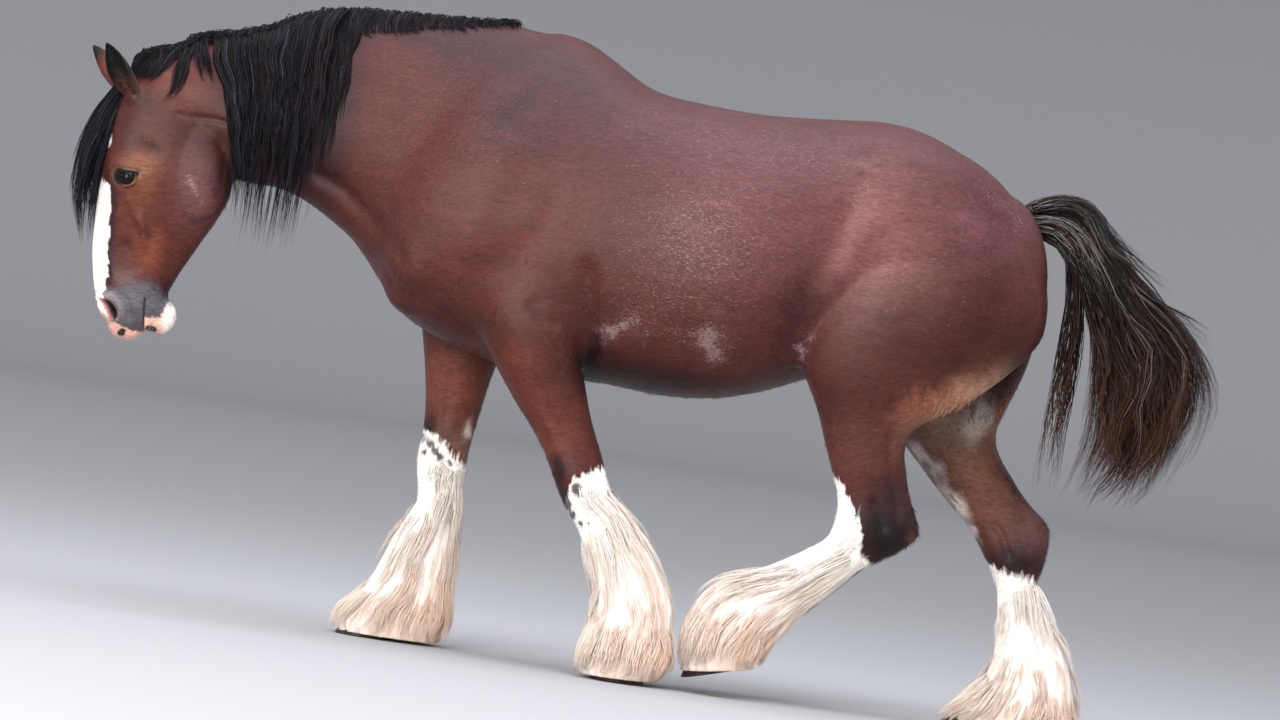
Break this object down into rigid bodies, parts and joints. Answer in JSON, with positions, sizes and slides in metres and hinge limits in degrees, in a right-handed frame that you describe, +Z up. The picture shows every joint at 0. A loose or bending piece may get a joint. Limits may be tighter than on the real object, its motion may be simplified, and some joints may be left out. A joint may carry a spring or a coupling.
{
  "type": "clydesdale horse",
  "caption": "Life-size still model of a heavy draught horse at a walk, with mane, tail and long hair over its hooves.",
  "frame": {"origin": "middle of the whole animal's box on the floor, level with the soles of the three standing hooves", "axes": "+Z up, -X the way the horse walks, -Y its left side"},
  "size_m": [3.2019, 0.7526, 1.7517],
  "materials": {
    "body_coat": "short bay hair with white flecks, satin",
    "head_coat": "short bay hair with a white blaze and a grey and pink muzzle, satin",
    "ear_coat": "short black hair, matt",
    "tail_hair": "long coarse black and grey hair, brown at the tips",
    "feather_hair": "long white to cream hair, matt",
    "hoof_horn": "dull horn",
    "eye": "wet and glossy"
  },
  "bodies": {
    "root": {"head": "head_coat", "neck": "body_coat", "torso": "body_coat", "tail": "tail_hair", "ear_left": "ear_coat", "ear_right": "ear_coat", "eye_left": "eye", "eye_right": "eye", "fore_left_upper": "body_coat", "fore_left_lower": "feather_hair", "hoof_fore_left": "hoof_horn", "fore_right_upper": "body_coat", "fore_right_lower": "feather_hair", "hoof_fore_right": "hoof_horn", "hind_left_upper": "body_coat", "hind_left_lower": "feather_hair", "hoof_hind_left": "hoof_horn", "hind_right_upper": "body_coat", "hind_right_lower": "feather_hair", "hoof_hind_right": "hoof_horn"}
  },
  "joints": []
}
